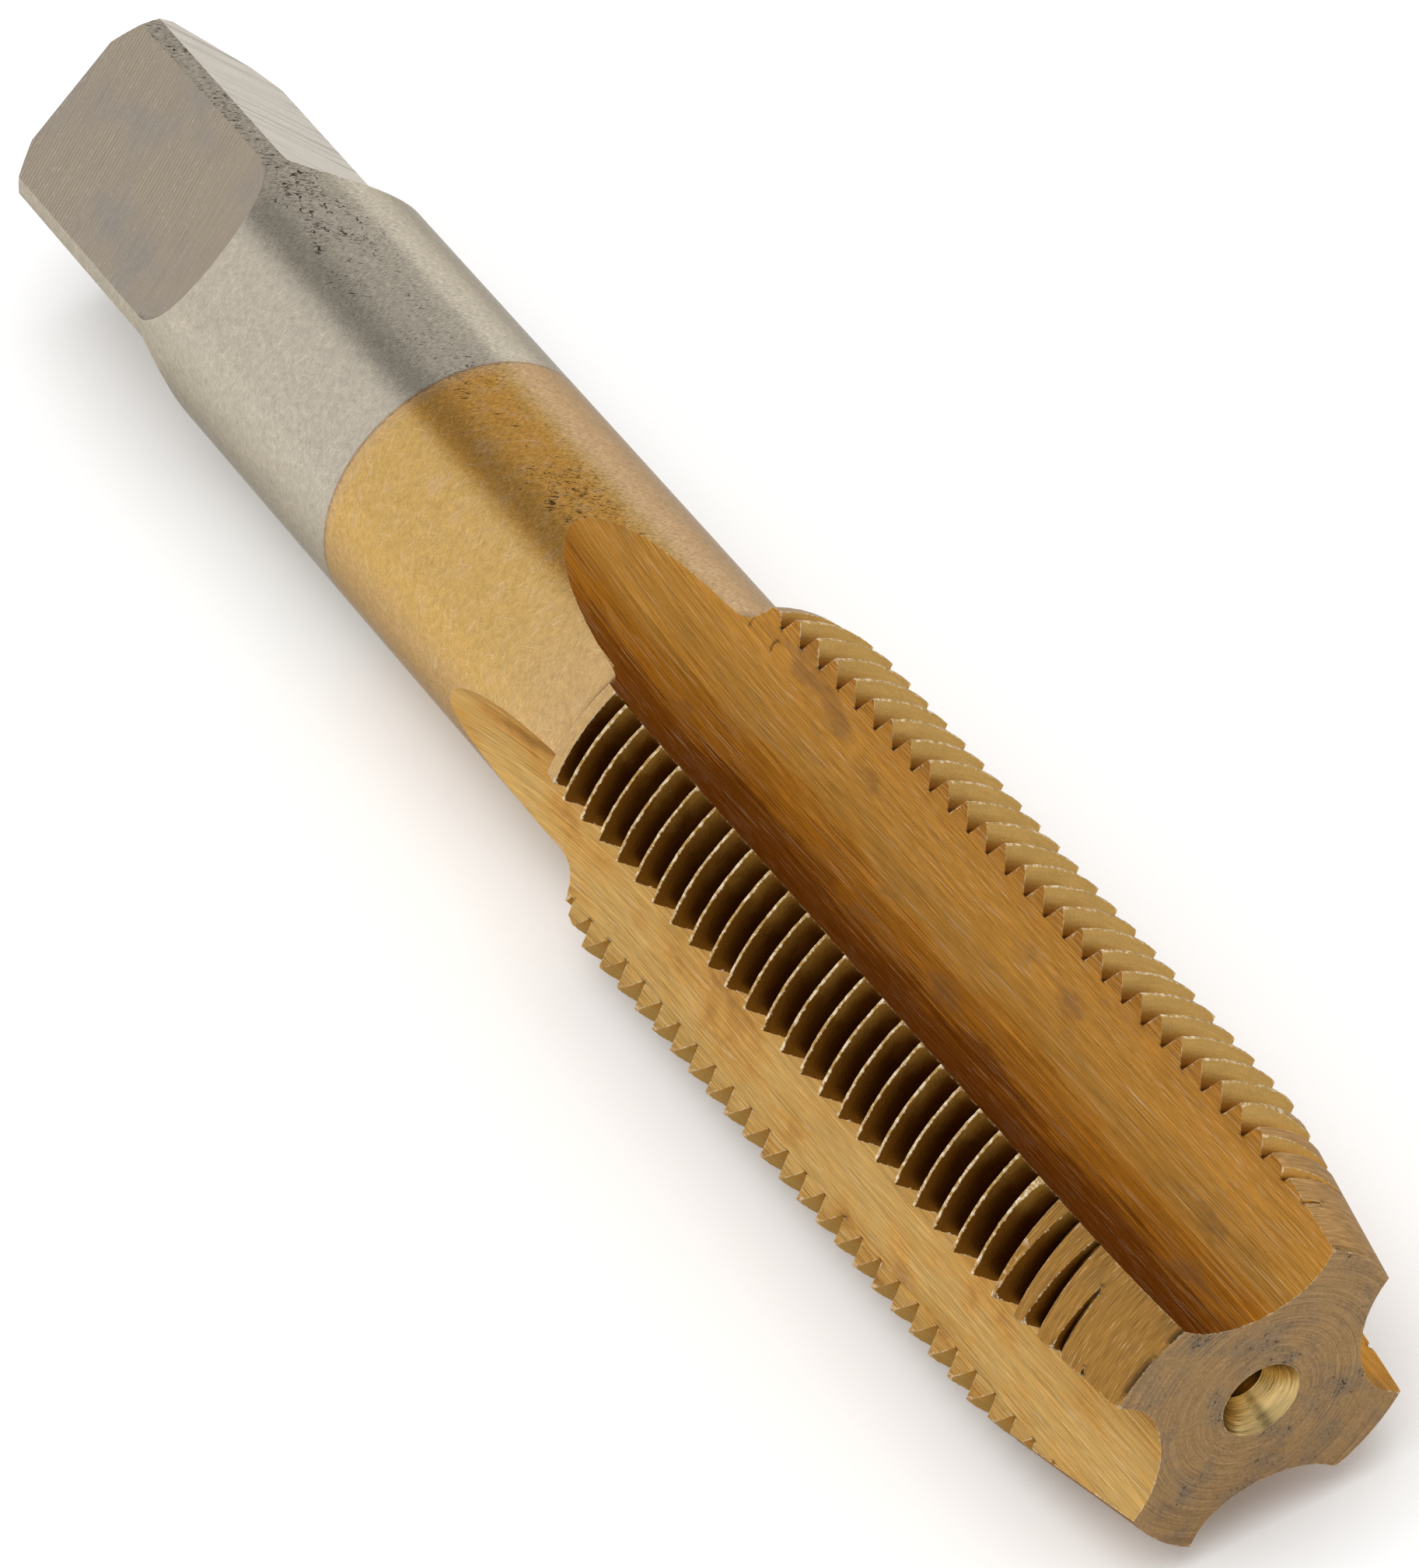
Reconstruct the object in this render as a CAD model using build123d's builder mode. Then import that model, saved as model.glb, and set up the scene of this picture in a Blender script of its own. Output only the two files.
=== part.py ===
from build123d import *
import os
from math import cos, radians, sin, tan

os.makedirs("parts", exist_ok=True)

# ---- driving sizes, millimetres and degrees ----
total_length = 95.6
shank_radius = 7.0

# cutting thread: right hand, 60 degree flanks, measured from the nose
pitch = 1.5
flank_angle = 30.0
major_radius = 9.09
crest_flat = 0.14
root_flat = 0.14
thread_length = 44.05
last_groove_inset = 0.25
last_groove_land = 2

# shoulder: the last teeth shrink a little, then a hollow cone meets the shank
tooth_taper_length = 2.25
tooth_taper_drop = 0.59
shoulder_angle = 55.0
shoulder_hollow = 1.7

# lands, each a cutting edge followed by a heel
land_count = 4
land_angle = 31.7

# lead chamfer on the nose, relieved behind every cutting edge
lead_length = 7.2
nose_edge_radius = 7.67
nose_heel_radius = 7.20
relief_lead_angle = 57.0

# straight flutes, ground by a disc that lifts out through the shank
web_radius = 4.83
web_turn = 22.4
flute_face_end = 6.45
flute_face_hollow = 3.0
heel_foot_radius = 5.73
heel_foot_turn = 7.6
disc_radius = 49.5
disc_lift_inset = 4.6
disc_lift_sweep = 24

# square drive
flat_count = 4
square_across = 10.55
square_parallel = 12.5
square_cutter_radius = 4.62
square_cutter_sweep = 75
square_turn = -38.1
end_break_depth = 0.95
end_break_length = 0.85

# centre holes in both ends
centre_rim_radius = 1.84
centre_pilot_radius = 1.0
centre_pilot_depth = 4.2
centre_cone_angle = 30.0
drill_point_angle = 59.0

# ---- derived sizes ----
land_pitch = 360.0 / land_count
flute_gap = land_pitch - land_angle
edge_angle = flute_gap / 2
thread_depth = (pitch - crest_flat - root_flat) / 2 / tan(radians(flank_angle))
root_radius = major_radius - thread_depth
last_tooth_radius = major_radius - tooth_taper_drop
rest_height = major_radius * cos(radians(edge_angle))
overcut = 1.0

# ---- blank: crest diameter, shoulder and shank, turned about the axis ----
shoulder_rise = last_tooth_radius - shank_radius
shoulder_foot = thread_length + shoulder_rise / tan(radians(shoulder_angle))
shoulder_slant = shoulder_rise / sin(radians(shoulder_angle))
hollow_limit = 0.9 * shoulder_slant / tan(radians(shoulder_angle / 2))
with BuildPart() as blank:
    with BuildSketch(Plane.XZ) as half_section:
        with BuildLine():
            Polyline(
                (0, 0),
                (major_radius, 0),
                (major_radius, thread_length - tooth_taper_length),
                (last_tooth_radius, thread_length),
                (shank_radius, shoulder_foot),
                (shank_radius, total_length - end_break_length),
                (shank_radius - end_break_depth, total_length),
                (0, total_length),
                close=True,
            )
        make_face()
        foot_corner = half_section.vertices().sort_by_distance((shank_radius, shoulder_foot))
        fillet(foot_corner[0], radius=min(shoulder_hollow, hollow_limit))
    revolve(axis=Axis.Z)

# ---- thread groove across one land: a trapezoid carried along a short helix ----
groove_clear = 0.12
groove_outer = major_radius + groove_clear
groove_half_root = root_flat / 2
groove_half_outer = groove_half_root + (thread_depth + groove_clear) * tan(radians(flank_angle))
groove_lead_in = flute_gap / 4
groove_span = land_angle + 2 * groove_lead_in
with BuildPart() as groove:
    with BuildLine() as groove_path:
        Helix(pitch, pitch * groove_span / 360, major_radius)
    with BuildSketch(Plane.XZ):
        with BuildLine():
            Polyline(
                (root_radius, -groove_half_root),
                (groove_outer, -groove_half_outer),
                (groove_outer, groove_half_outer),
                (root_radius, groove_half_root),
                close=True,
            )
        make_face()
    sweep(path=groove_path.wires()[0], is_frenet=True)

# ---- lead chamfer cutter for one land: an eccentric cone gives the relief ----
relief_tail_angle = relief_lead_angle + land_angle
nose_drop = nose_edge_radius - nose_heel_radius
relief_swing = cos(radians(relief_lead_angle)) - cos(radians(relief_tail_angle))
relief_shift = nose_drop / relief_swing
relief_radius = nose_edge_radius - relief_shift * cos(radians(relief_lead_angle))
lead_slope = (major_radius - nose_edge_radius) / lead_length
relief_reach = (major_radius + relief_shift + overcut - relief_radius) / lead_slope
relief_axis_angle = edge_angle - relief_lead_angle
relief_x = relief_shift * cos(radians(relief_axis_angle))
relief_y = relief_shift * sin(radians(relief_axis_angle))
wedge_reach = 3 * major_radius
wedge_from = edge_angle - flute_gap / 3
wedge_to = edge_angle + land_angle + flute_gap / 3
with BuildPart() as lead_cutter:
    with Locations((relief_x, relief_y, -overcut)):
        Cylinder(
            2 * major_radius,
            relief_reach + overcut,
            align=(Align.CENTER, Align.CENTER, Align.MIN),
        )
        Cone(
            relief_radius - lead_slope * overcut,
            relief_radius + lead_slope * relief_reach,
            relief_reach + overcut,
            align=(Align.CENTER, Align.CENTER, Align.MIN),
            mode=Mode.SUBTRACT,
        )
    with BuildSketch(Plane.XY.offset(-overcut)):
        with BuildLine():
            Polyline(
                (0, 0),
                (wedge_reach * cos(radians(wedge_from)), wedge_reach * sin(radians(wedge_from))),
                (wedge_reach * cos(radians(wedge_to)), wedge_reach * sin(radians(wedge_to))),
                close=True,
            )
        make_face()
    extrude(amount=relief_reach + overcut, mode=Mode.INTERSECT)

# ---- flute cutter: radial cutting face, hollow foot, curved floor, leaning heel wall ----
# drawn with the cutting edge along the first axis, then turned so that the
# middle of the gullet lies on the x axis
heel_turn = radians(-flute_gap)
heel = (major_radius * cos(heel_turn), major_radius * sin(heel_turn))
foot_turn = radians(heel_foot_turn - flute_gap)
heel_foot = (heel_foot_radius * cos(foot_turn), heel_foot_radius * sin(foot_turn))
floor_turn = radians(-web_turn)
floor_mid = (web_radius * cos(floor_turn), web_radius * sin(floor_turn))
flute_parallel = thread_length - disc_lift_inset
disc_axis = Axis((web_radius + disc_radius, 0, flute_parallel), (0, 1, 0))
section_plane = Plane.XY.offset(flute_parallel).rotated((0, 0, edge_angle))
with BuildPart() as flute_cutter:
    with BuildSketch(section_plane) as flute_section:
        with BuildLine():
            face_line = Line((2 * major_radius, 0), (flute_face_end, 0))
            floor_arc = ThreePointArc(face_line @ 1, floor_mid, heel_foot)
            heel_arc = TangentArc(floor_arc @ 1, heel, tangent=floor_arc % 1)
            heel_line = Line(heel_arc @ 1, heel_arc @ 1 + (heel_arc % 1) * major_radius)
            Line(heel_line @ 1, face_line @ 0)
        make_face()
        foot_point = section_plane.from_local_coords(face_line @ 1)
        face_foot = flute_section.vertices().sort_by_distance(foot_point)
        fillet(face_foot[0], radius=flute_face_hollow)
    extrude(to_extrude=flute_section.sketch, amount=-flute_parallel - overcut)
    revolve(profiles=flute_section.sketch, axis=disc_axis, revolution_arc=disc_lift_sweep)

# ---- flat cutter for the square drive, with the cutter's round run-out ----
flat_height = square_across / 2
flat_stop = total_length - square_parallel
flat_over = total_length + overcut
cutter_x = flat_height + square_cutter_radius
with BuildPart() as flat_cutter:
    with BuildSketch(Plane.XZ):
        with BuildLine():
            flat_line = Line((flat_height, flat_over), (flat_height, flat_stop))
            run_out = CenterArc((cutter_x, flat_stop), square_cutter_radius, 180, square_cutter_sweep)
            outer_line = Line(run_out @ 1, ((run_out @ 1).X, flat_over))
            Line(outer_line @ 1, flat_line @ 0)
        make_face()
    extrude(amount=shank_radius + overcut, both=True)

# ---- centre hole cutter: sixty degree cone, pilot bore and drill point ----
cone_depth = (centre_rim_radius - centre_pilot_radius) / tan(radians(centre_cone_angle))
point_depth = centre_pilot_depth + centre_pilot_radius / tan(radians(drill_point_angle))
with BuildPart() as centre_cutter:
    with BuildSketch(Plane.XZ):
        with BuildLine():
            Polyline(
                (0, 0),
                (centre_rim_radius, 0),
                (centre_pilot_radius, cone_depth),
                (centre_pilot_radius, centre_pilot_depth),
                (0, point_depth),
                close=True,
            )
        make_face()
    revolve(axis=Axis.Z)

# ---- the tap, nose at the origin and square drive up the z axis ----
# the grooves follow one right hand helix from land to land, down to the nose
groove_step = pitch / land_count
groove_total = int((thread_length + pitch) / groove_step)
groove_top = thread_length - last_groove_inset - pitch * groove_lead_in / 360
groove_turn = edge_angle + last_groove_land * land_pitch - groove_lead_in
groove_spots = []
for step in range(groove_total):
    climb = groove_top - step * groove_step
    groove_spots.append(Location((0, 0, climb), (0, 0, groove_turn - step * land_pitch)))
with BuildPart() as upright_tap:
    add(blank.part)
    with PolarLocations(0, land_count):
        add(lead_cutter.part, mode=Mode.SUBTRACT)
    with PolarLocations(0, land_count):
        add(flute_cutter.part, mode=Mode.SUBTRACT)
    with PolarLocations(0, flat_count, start_angle=square_turn):
        add(flat_cutter.part, mode=Mode.SUBTRACT)
    add(centre_cutter.part, mode=Mode.SUBTRACT)
    with Locations(Location((0, 0, total_length), (180, 0, 0))):
        add(centre_cutter.part, mode=Mode.SUBTRACT)
    with Locations(*groove_spots):
        add(groove.part, mode=Mode.SUBTRACT)

# ---- laid on its side: nose at +x, one flute up and one flute down ----
with BuildPart() as tap_body:
    with Locations(Location((total_length / 2, 0, rest_height), (0, -90, 0))):
        add(upright_tap.part)

tap_body.part.label = "tap_body"
export_step(tap_body.part, "parts/tap_body.step")
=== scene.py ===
import math

import bmesh
import bpy
from mathutils import Matrix, Vector, noise


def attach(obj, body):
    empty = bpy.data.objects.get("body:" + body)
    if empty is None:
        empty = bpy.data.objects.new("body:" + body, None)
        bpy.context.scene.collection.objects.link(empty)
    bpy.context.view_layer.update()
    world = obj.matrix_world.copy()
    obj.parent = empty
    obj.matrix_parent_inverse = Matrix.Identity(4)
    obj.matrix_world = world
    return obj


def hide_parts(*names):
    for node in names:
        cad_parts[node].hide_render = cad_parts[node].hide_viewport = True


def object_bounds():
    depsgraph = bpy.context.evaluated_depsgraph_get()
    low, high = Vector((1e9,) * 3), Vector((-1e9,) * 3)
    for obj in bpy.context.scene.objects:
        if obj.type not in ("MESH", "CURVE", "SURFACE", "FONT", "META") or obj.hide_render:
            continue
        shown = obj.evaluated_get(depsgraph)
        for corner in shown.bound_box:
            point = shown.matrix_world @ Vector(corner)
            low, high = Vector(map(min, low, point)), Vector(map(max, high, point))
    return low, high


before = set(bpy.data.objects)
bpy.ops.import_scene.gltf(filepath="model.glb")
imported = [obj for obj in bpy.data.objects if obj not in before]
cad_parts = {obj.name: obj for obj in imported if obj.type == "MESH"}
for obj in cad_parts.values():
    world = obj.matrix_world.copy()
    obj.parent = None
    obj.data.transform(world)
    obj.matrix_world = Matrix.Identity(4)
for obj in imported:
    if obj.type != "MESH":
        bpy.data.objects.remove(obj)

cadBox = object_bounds()
print("frame loaded")

# Everything is in metres and radians. The tap lies along X with its nose towards +X.
# Angles about its axis run from straight up, positive towards +Y.
tapBody = {
    "crestRadius": 0.00909,
    "shankRadius": 0.0070,
    "rootTop": 0.0083,
    "pitch": 0.0015,
    "flankAngle": math.radians(30),
    "edgeAngle": math.radians(29.15),  # from the middle of a flute to its cutting edge
    "squareEnd": -0.0312,
    "flutesStart": -0.0065,
    "shankEnd": 0.0012,
    "threadStart": 0.0045,
    "leadStart": 0.0400,
    "nose": 0.0478,
    "sharpAngle": math.radians(13),  # edges steeper than this stay crisp
    "nearEdge": 0.00022,  # longest side of a facet along a crisp edge
    "beside": 0.9,  # level of touch that counts as being on a crisp edge
    "onThread": 0.00045,  # longest side on a thread flank
    "cutRounds": 7,
    "chipDepth": 0.000035,
    "nickScales": (6500, 15000, 5000),  # deep, fine, and along the tap
    "nickShift": (7, 3, 1),
    "facetDip": 0.00004,  # how far the shank's facets dip below its radius
    "strayed": 0.4,
    "weld": 2e-6,
    "sliver": 1e-7,
}
axisHeight = tapBody["crestRadius"] * math.cos(tapBody["edgeAngle"])


def addNode(tree, kind, inputs=None, **settings):
    made = tree.nodes.new(kind)
    for name, value in settings.items():
        setattr(made, name, value)
    for name, value in (inputs or {}).items():
        if isinstance(value, bpy.types.NodeSocket):
            tree.links.new(value, made.inputs[name])
        else:
            made.inputs[name].default_value = value
    return made


def doMath(tree, operation, first, second=0.0):
    return addNode(tree, "ShaderNodeMath", {0: first, 1: second}, operation=operation).outputs[0]


def total(tree, *values):
    result = values[0]
    for value in values[1:]:
        result = doMath(tree, "ADD", result, value)
    return result


def product(tree, *values):
    result = values[0]
    for value in values[1:]:
        result = doMath(tree, "MULTIPLY", result, value)
    return result


def largest(tree, *values):
    result = values[0]
    for value in values[1:]:
        result = doMath(tree, "MAXIMUM", result, value)
    return result


def laid(tree, vector, sizes, turn=0.0):
    # pattern space whose marks measure sizes, turned about the third direction
    made = addNode(tree, "ShaderNodeMapping", {"Vector": vector, "Scale": sizes, "Rotation": (0, 0, turn)},
                   vector_type="TEXTURE")
    return made.outputs["Vector"]


def grain(tree, vector, sizes, turn=0.0, detail=3.0, roughness=0.6):
    made = addNode(tree, "ShaderNodeTexNoise", {"Vector": laid(tree, vector, sizes, turn), "Scale": 1.0,
                                                "Detail": detail, "Roughness": roughness})
    return made.outputs["Fac"]


def between(tree, value, low, high, outLow=0.0, outHigh=1.0, smooth=True):
    # outLow up to low, outHigh from high, eased in between
    made = addNode(tree, "ShaderNodeMapRange", {"Value": value, "From Min": low, "From Max": high,
                                                "To Min": outLow, "To Max": outHigh})
    made.interpolation_type = "SMOOTHSTEP" if smooth else "LINEAR"
    return made.outputs["Result"]


def band(tree, value, low, rise, fall, high):
    # 1 from rise to fall, 0 outside low and high
    return product(tree, between(tree, value, low, rise), between(tree, value, fall, high, 1.0, 0.0))


def vary(tree, value, depth):
    # a grey multiplier about 1 from a noise
    return between(tree, value, 0.25, 0.75, 1.0 - depth, 1.0 + depth, False)


def mixColour(tree, amount, first, second, blend="MIX"):
    made = addNode(tree, "ShaderNodeMix", data_type="RGBA", blend_type=blend)
    for socket, value in zip((made.inputs[0], made.inputs[6], made.inputs[7]), (amount, first, second)):
        if isinstance(value, bpy.types.NodeSocket):
            tree.links.new(value, socket)
        else:
            socket.default_value = value
    return made.outputs[2]


def tint(tree, colour, *greys):
    grey = product(tree, *greys)
    white = addNode(tree, "ShaderNodeCombineColor", {0: grey, 1: grey, 2: grey}).outputs[0]
    return mixColour(tree, 1.0, colour, white, "MULTIPLY")


def axisPlace(tree):
    # a point's x, its angle and radius about the axis, and the surface unrolled as (x, arc, radius)
    spot = addNode(tree, "ShaderNodeTexCoord").outputs["Object"]
    parts = addNode(tree, "ShaderNodeSeparateXYZ", {"Vector": spot})
    up = doMath(tree, "SUBTRACT", parts.outputs["Z"], axisHeight)
    angle = doMath(tree, "ARCTAN2", parts.outputs["Y"], up)
    across = addNode(tree, "ShaderNodeCombineXYZ", {"Y": parts.outputs["Y"], "Z": up}).outputs[0]
    radius = addNode(tree, "ShaderNodeVectorMath", {0: across}, operation="LENGTH").outputs["Value"]
    arc = product(tree, angle, tapBody["shankRadius"])
    x, y = parts.outputs["X"], parts.outputs["Y"]
    unrolled = addNode(tree, "ShaderNodeCombineXYZ", {"X": x, "Y": arc, "Z": radius}).outputs[0]
    return {"spot": spot, "x": x, "y": y, "up": up, "angle": angle, "radius": radius, "unrolled": unrolled}


metal = {"edgeDark": (0.50, 0.48, 0.45, 1)}  # how much of the gloss is left at a glancing view


def newMetal(name, roughness):
    made = bpy.data.materials.new(name)
    made.use_nodes = True
    tree = made.node_tree
    shader = tree.nodes["Principled BSDF"]
    shader.inputs["Metallic"].default_value = 1.0
    shader.inputs["Roughness"].default_value = roughness
    shader.inputs["Specular Tint"].default_value = metal["edgeDark"]
    return made, tree, shader


def addBump(tree, shader, height, strength, distance):
    bump = addNode(tree, "ShaderNodeBump", {"Height": height, "Strength": strength, "Distance": distance})
    tree.links.new(bump.outputs["Normal"], shader.inputs["Normal"])


finish = {
    "steel": (0.50, 0.448, 0.365, 1),
    "milled": (0.375, 0.315, 0.245, 1),
    "milledGrey": (0.335, 0.297, 0.255, 1),
    # painted light for the flat that faces the light
    "milledLit": (0.80, 0.75, 0.68, 1),
    "gold": (0.59, 0.37, 0.122, 1),
    "goldDeep": (0.62, 0.32, 0.072, 1),
    "blush": (0.57, 0.375, 0.205, 1),
    "rim": (0.30, 0.19, 0.11, 1),
    # the flute in painted shade, in its middle, and in painted light
    "fluteShade": (0.25, 0.078, 0.008, 1),
    "flute": (0.48, 0.185, 0.018, 1),
    "fluteLit": (0.57, 0.275, 0.052, 1),
    "fluteStain": (0.26, 0.130, 0.055, 1),
    # painted shade on the thread's flanks
    "groove": (0.105, 0.039, 0.004, 1),
    "grooveWarm": (0.25, 0.127, 0.022, 1),
    "toothGold": (0.43, 0.26, 0.080, 1),
    # painted shade towards the thread's root
    "toothRootShade": (0.42, 0.21, 0.045, 1),
    "lead": (0.36, 0.185, 0.045, 1),
    "leadBrown": (0.24, 0.135, 0.05, 1),
    "bronze": (0.31, 0.195, 0.092, 1),
    "bronzeGrey": (0.19, 0.145, 0.105, 1),
    "drilled": (0.60, 0.43, 0.18, 1),
    "soot": (0.022, 0.016, 0.011, 1),
    "paleSteel": (0.80, 0.76, 0.70, 1),
    "paleGold": (0.88, 0.72, 0.50, 1),
}


edgeLook = {
    "raggedness": (0.00024,) * 3,
    "raggedDepth": 0.55,
    "fade": 0.25,
    "innerDarkness": 0.6,
}


def wornEdgeHighlight(tree, at, colour, pale, amount, reach):
    # bright worn metal and a painted highlight on crisp outer edges, darker along inner crisp edges
    outerEdge = addNode(tree, "ShaderNodeAttribute", attribute_name="edgeWearAndHighlight").outputs["Fac"]
    innerEdge = addNode(tree, "ShaderNodeAttribute", attribute_name="innerEdgeDark").outputs["Fac"]
    depth = edgeLook["raggedDepth"]
    rough = grain(tree, at["spot"], edgeLook["raggedness"], roughness=0.7)
    ragged = between(tree, rough, 0.0, 1.0, -depth, depth, False)
    # painted highlight, partly real wear: pale colour along the outer crisp edges
    wearAndHighlight = between(tree, total(tree, outerEdge, ragged), reach, reach + edgeLook["fade"])
    colour = mixColour(tree, product(tree, wearAndHighlight, amount), colour, pale)
    return mixColour(tree, between(tree, innerEdge, 0.35, 1.0, 0.0, edgeLook["innerDarkness"]), colour, finish["soot"])


# Marks are sized along the tap, round it and in depth.
# Bands are (fades in from, full from, full to, gone at).
shankLook = {
    "gloss": 0.26,
    "coatingEnd": -0.0176,
    "coatingFade": 0.00006,
    "rim": (-0.00012, 0.0, 0.0, 0.00018),  # brown line where the coating ends, from that ring
    "rimDepth": 0.75,
    "rimBlush": (0.0011, 0.6),  # how far it reaches from the ring, and how strongly
    "blushFarSide": (0.30, 0.50),
    "blushNearSide": (-1.15, -1.45, 0.0, 0.5),
    "blushClouds": (0.50, 0.72, 0.0, 0.42),
    "blushByThread": (-0.006, 0.002, 0.0, 0.5),
    "strokes": (0.000065, 0.00030, 1),  # short grinding marks round the shank
    "strokeTurn": math.radians(8),
    "speckle": (0.00011, 0.00014, 1),
    "mottle": (0.00034, 0.00042, 1),
    "mottleTurn": math.radians(30),
    "clouds": (0.0011, 0.0014, 1),
    "hairs": (0.0018, 0.000035, 1),  # long fine scratches
    "hairTurns": ((72, 0.67), (-62, 0.68), (28, 0.70), (-12, 0.71)),  # degrees, and the level they start at
    "hairFade": 0.05,
    "hairGlint": 0.65,
    "deepGold": (-0.40, -0.24, 0.20, 0.42),  # by angle about the tap, as the next three
    "coarse": (-0.30, -0.05, 0.40, 0.75),
    # a painted highlight on one side of the bare steel
    "highlightBand": (0.36, 0.46, 0.66, 0.82),
    "pitted": (-0.18, 0.00, 0.26, 0.50),
    "corner": (-0.0335, -0.0325),  # by place along the tap, as the next three
    "behindSquare": (-0.0345, -0.0325, -0.0285, -0.0235),
    "atTip": (-0.0110, -0.0085, -0.0060, -0.0030),
    "atRing": (-0.0012, 0.0, 0.0008, 0.0030),
    "dashes": (0.00042, 0.000085, 1),  # short black pits, all laid one way
    "dashTurn": math.radians(50),
    "dashLevels": (0.645, 0.675),
    "holes": (0.00060, 0.00034, 1),
    "holeLevels": (0.685, 0.70),
    "cracks": (0.0014, 0.0010, 1),
    "crackWander": (0.0005, 0.0005, 1),
    "crackWidth": (0.012, 0.050),
    "crackLevels": (0.53, 0.62),
    "patches": (0.0022, 0.0016, 1),
    "edgeWearAndHighlight": (0.08, 0.5, 0.8),  # on the shank, on the shoulder, and the reach of both
    "relief": (0.30, 0.00002),
}


def coatingColour(tree, at, ring, coated, clouds):
    # deep gold along the top, pinkish on either side, by the ring and by the thread
    start, (reach, strength) = shankLook["coatingEnd"], shankLook["rimBlush"]
    afterRim = product(tree, coated, between(tree, at["x"], start, start + reach, 1.0, 0.0))
    flush = largest(tree, between(tree, at["angle"], *shankLook["blushFarSide"]),
                    product(tree, afterRim, strength),
                    between(tree, clouds, *shankLook["blushClouds"]),
                    between(tree, at["x"], *shankLook["blushByThread"]),
                    between(tree, at["angle"], *shankLook["blushNearSide"]))
    top = band(tree, at["angle"], *shankLook["deepGold"])
    gold = mixColour(tree, top, finish["gold"], finish["goldDeep"])
    colour = mixColour(tree, coated, finish["steel"], mixColour(tree, flush, gold, finish["blush"]))
    rim = band(tree, ring, *(start + step for step in shankLook["rim"]))
    return mixColour(tree, product(tree, rim, shankLook["rimDepth"]), colour, finish["rim"])


def shankMarks(tree, around, x, angle, mottle):
    # black pits and cracks along the top, thickest behind the square and at the flute's tip
    start = shankLook["coatingEnd"]
    patches = grain(tree, around, shankLook["patches"], detail=2.0)
    ragged = total(tree, angle, between(tree, patches, 0.3, 0.7, -0.12, 0.12))
    strip = band(tree, ragged, *shankLook["pitted"])
    corner = between(tree, x, *shankLook["corner"], 1.0, 0.0)
    behind = band(tree, x, *shankLook["behindSquare"])
    atTip = band(tree, x, *shankLook["atTip"])
    atRing = band(tree, x, *(start + step for step in shankLook["atRing"]))
    many = total(tree, product(tree, corner, 0.055), product(tree, behind, 0.035),
                 product(tree, atTip, 0.065), product(tree, atRing, 0.04),
                 between(tree, patches, 0.35, 0.65, -0.045, 0.035))
    dashes = grain(tree, around, shankLook["dashes"], shankLook["dashTurn"], 2.0)
    pits = product(tree, between(tree, total(tree, dashes, many), *shankLook["dashLevels"]), strip)
    holes = grain(tree, around, shankLook["holes"], shankLook["dashTurn"], 4.0, 0.7)
    holes = product(tree, between(tree, total(tree, holes, many), *shankLook["holeLevels"]), strip)
    wander = addNode(tree, "ShaderNodeTexNoise", {
        "Vector": laid(tree, around, shankLook["crackWander"]), "Scale": 1.0})
    bent = addNode(tree, "ShaderNodeVectorMath", {
        0: laid(tree, around, shankLook["cracks"]), 1: wander.outputs["Color"]}, operation="ADD").outputs[0]
    cells = addNode(tree, "ShaderNodeTexVoronoi", {"Vector": bent, "Scale": 1.0}, feature="DISTANCE_TO_EDGE")
    thin = between(tree, cells.outputs["Distance"], *shankLook["crackWidth"], 1.0, 0.0)
    cracks = product(tree, thin, strip, between(tree, total(tree, mottle, many), *shankLook["crackLevels"]),
                     largest(tree, behind, product(tree, atTip, 0.5), product(tree, corner, 0.4)))
    marks = largest(tree, product(tree, pits, 0.85), product(tree, holes, 0.95), product(tree, cracks, 0.9))
    return marks, corner


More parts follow.
